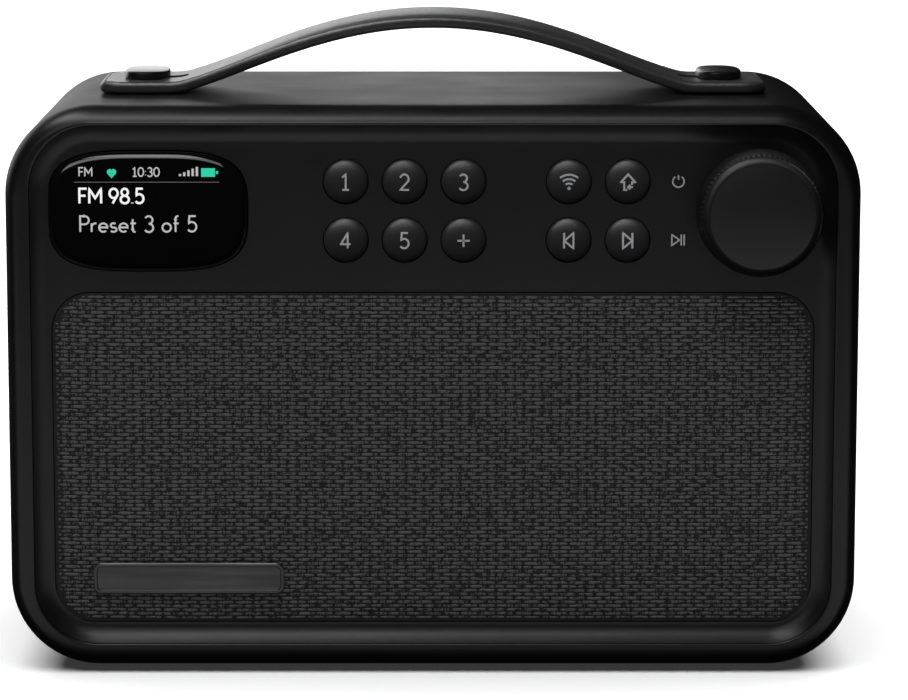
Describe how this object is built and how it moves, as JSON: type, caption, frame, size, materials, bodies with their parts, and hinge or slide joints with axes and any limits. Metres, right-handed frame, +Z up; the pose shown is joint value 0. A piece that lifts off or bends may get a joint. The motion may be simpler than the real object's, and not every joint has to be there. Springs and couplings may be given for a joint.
{
  "type": "tabletop radio",
  "caption": "Tabletop radio with a recessed front of woven grille, domed display, round buttons and a turning knob, a sprung carrying strap on top and a telescopic aerial behind.",
  "frame": {"origin": "middle of the bounding box, on the surface that the feet rest on", "axes": "+X to the right seen from the front, +Y from the front to the back, +Z up"},
  "size_m": [0.204, 0.1127, 0.1567],
  "materials": {
    "cabinet": "satin soft-touch black",
    "front_panel": "fine-grained satin black",
    "back_plastic": "moulded black with a fine texture",
    "grille_cloth": "woven speaker cloth, charcoal",
    "badge": "satin silver plate",
    "display_lens": "polished black lens",
    "soft_seal": "matt rubber",
    "button": "satin black cap with printed sign",
    "knob": "knurled satin black",
    "knob_face": "fine matt disc",
    "circuit_board": "green solder mask",
    "black_component": "moulded black",
    "plated_steel": "zinc plated",
    "speaker_steel": "black painted steel",
    "paper_cone": "pressed paper",
    "battery_wrap": "blue shrink sleeve",
    "contact_brass": "plated contact strip",
    "strap": "grained leatherette with a smooth edge",
    "stud_steel": "satin grey metal",
    "foot_rubber": "matt rubber",
    "aerial_chrome": "bright plated tube"
  },
  "bodies": {
    "root": {"cabinet": "cabinet", "front_panel": "front_panel", "rear_panel": "back_plastic", "grille_frame": "back_plastic", "grille_fabric": "grille_cloth", "badge": "badge", "display_lens": "display_lens", "display_gasket": "soft_seal", "display_module": "circuit_board", "key_switches": "black_component", "control_board": "circuit_board", "encoder_body": "black_component", "encoder_nut": "plated_steel", "speaker_baffle": "back_plastic", "speaker_basket": "speaker_steel", "speaker_magnet": "speaker_steel", "speaker_surround": "soft_seal", "speaker_screws": "plated_steel", "bass_port": "back_plastic", "main_board": "circuit_board", "board_components": "black_component", "tuner_module": "plated_steel", "power_socket": "plated_steel", "headphone_socket": "back_plastic", "battery_tray": "back_plastic", "battery_pack": "battery_wrap", "battery_contacts": "contact_brass", "strap_studs": "stud_steel", "stud_caps": "stud_steel", "stud_nuts": "plated_steel", "feet": "foot_rubber", "case_screws": "plated_steel", "board_screws": "plated_steel", "aerial_mount": "back_plastic"},
    "button_1": {"button_1": "button"},
    "button_2": {"button_2": "button"},
    "button_3": {"button_3": "button"},
    "button_4": {"button_4": "button"},
    "button_5": {"button_5": "button"},
    "button_plus": {"button_plus": "button"},
    "button_wireless": {"button_wireless": "button"},
    "button_home": {"button_home": "button"},
    "button_previous": {"button_previous": "button"},
    "button_next": {"button_next": "button"},
    "knob_push": {"encoder_plunger": "plated_steel"},
    "knob": {"knob_body": "knob", "knob_face": "knob_face", "encoder_shaft": "plated_steel"},
    "speaker_cone": {"speaker_cone": "paper_cone"},
    "strap_crown": {"strap_crown": "strap"},
    "strap_left_end": {"strap_left_end": "strap"},
    "strap_right_end": {"strap_right_end": "strap"},
    "battery_door": {"battery_door": "back_plastic"},
    "aerial_turret": {"aerial_turret": "aerial_chrome", "aerial_pin": "plated_steel", "aerial_clip": "plated_steel"},
    "aerial_tube_1": {"aerial_tube_1": "aerial_chrome"},
    "aerial_tube_2": {"aerial_tube_2": "aerial_chrome"},
    "aerial_tube_3": {"aerial_tube_3": "aerial_chrome"},
    "aerial_tube_4": {"aerial_tube_4": "aerial_chrome"}
  },
  "joints": [
    {"name": "button_1_press", "type": "slide", "parent": "root", "child": "button_1", "axis": [0, 1, 0], "range_m": [0, 0.0008], "stiffness_N_per_m": 400, "springref_m": -0.0005},
    {"name": "button_2_press", "type": "slide", "parent": "root", "child": "button_2", "axis": [0, 1, 0], "range_m": [0, 0.0008], "stiffness_N_per_m": 400, "springref_m": -0.0005},
    {"name": "button_3_press", "type": "slide", "parent": "root", "child": "button_3", "axis": [0, 1, 0], "range_m": [0, 0.0008], "stiffness_N_per_m": 400, "springref_m": -0.0005},
    {"name": "button_4_press", "type": "slide", "parent": "root", "child": "button_4", "axis": [0, 1, 0], "range_m": [0, 0.0008], "stiffness_N_per_m": 400, "springref_m": -0.0005},
    {"name": "button_5_press", "type": "slide", "parent": "root", "child": "button_5", "axis": [0, 1, 0], "range_m": [0, 0.0008], "stiffness_N_per_m": 400, "springref_m": -0.0005},
    {"name": "button_plus_press", "type": "slide", "parent": "root", "child": "button_plus", "axis": [0, 1, 0], "range_m": [0, 0.0008], "stiffness_N_per_m": 400, "springref_m": -0.0005},
    {"name": "button_wireless_press", "type": "slide", "parent": "root", "child": "button_wireless", "axis": [0, 1, 0], "range_m": [0, 0.0008], "stiffness_N_per_m": 400, "springref_m": -0.0005},
    {"name": "button_home_press", "type": "slide", "parent": "root", "child": "button_home", "axis": [0, 1, 0], "range_m": [0, 0.0008], "stiffness_N_per_m": 400, "springref_m": -0.0005},
    {"name": "button_previous_press", "type": "slide", "parent": "root", "child": "button_previous", "axis": [0, 1, 0], "range_m": [0, 0.0008], "stiffness_N_per_m": 400, "springref_m": -0.0005},
    {"name": "button_next_press", "type": "slide", "parent": "root", "child": "button_next", "axis": [0, 1, 0], "range_m": [0, 0.0008], "stiffness_N_per_m": 400, "springref_m": -0.0005},
    {"name": "knob_press", "type": "slide", "parent": "root", "child": "knob_push", "axis": [0, 1, 0], "range_m": [0, 0.0006], "stiffness_N_per_m": 800, "springref_m": -0.0004},
    {"name": "knob_turn", "type": "hinge", "parent": "knob_push", "child": "knob", "pos_m": [0.07745, -0.04765, 0.112], "axis": [0, -1, 0], "continuous": true},
    {"name": "cone_stroke", "type": "slide", "parent": "root", "child": "speaker_cone", "axis": [0, -1, 0], "range_m": [-0.0012, 0.0012], "stiffness_N_per_m": 900},
    {"name": "strap_press", "type": "slide", "parent": "root", "child": "strap_crown", "axis": [0, 0, -1], "range_m": [0, 0.009], "stiffness_N_per_m": 300, "springref_m": -0.002},
    {"name": "strap_left_slide", "type": "slide", "parent": "strap_crown", "child": "strap_left_end", "axis": [-0.2169, 0, 0.9762], "range_m": [0, 0.00923]},
    {"name": "strap_right_slide", "type": "slide", "parent": "strap_crown", "child": "strap_right_end", "axis": [0.2169, 0, 0.9762], "range_m": [0, 0.00923]},
    {"name": "battery_door_hinge", "type": "hinge", "parent": "root", "child": "battery_door", "pos_m": [0, 0.04535, 0.052], "axis": [1, 0, 0], "range_deg": [0, 95]},
    {"name": "aerial_swivel", "type": "hinge", "parent": "root", "child": "aerial_turret", "pos_m": [0.078, 0.04635, 0.123], "axis": [0, 1, 0], "range_deg": [0, 180]},
    {"name": "aerial_elbow", "type": "hinge", "parent": "aerial_turret", "child": "aerial_tube_1", "pos_m": [0.078, 0.05335, 0.123], "axis": [0, 0, -1], "range_deg": [0, 90]},
    {"name": "aerial_pull_2", "type": "slide", "parent": "aerial_tube_1", "child": "aerial_tube_2", "axis": [-1, 0, 0], "range_m": [0, 0.1]},
    {"name": "aerial_pull_3", "type": "slide", "parent": "aerial_tube_2", "child": "aerial_tube_3", "axis": [-1, 0, 0], "range_m": [0, 0.1]},
    {"name": "aerial_pull_4", "type": "slide", "parent": "aerial_tube_3", "child": "aerial_tube_4", "axis": [-1, 0, 0], "range_m": [0, 0.1]}
  ],
  "couplings": [
    {"joint": "strap_left_slide", "follows": "strap_press", "ratio": 1.0244},
    {"joint": "strap_right_slide", "follows": "strap_press", "ratio": 1.0244}
  ]
}
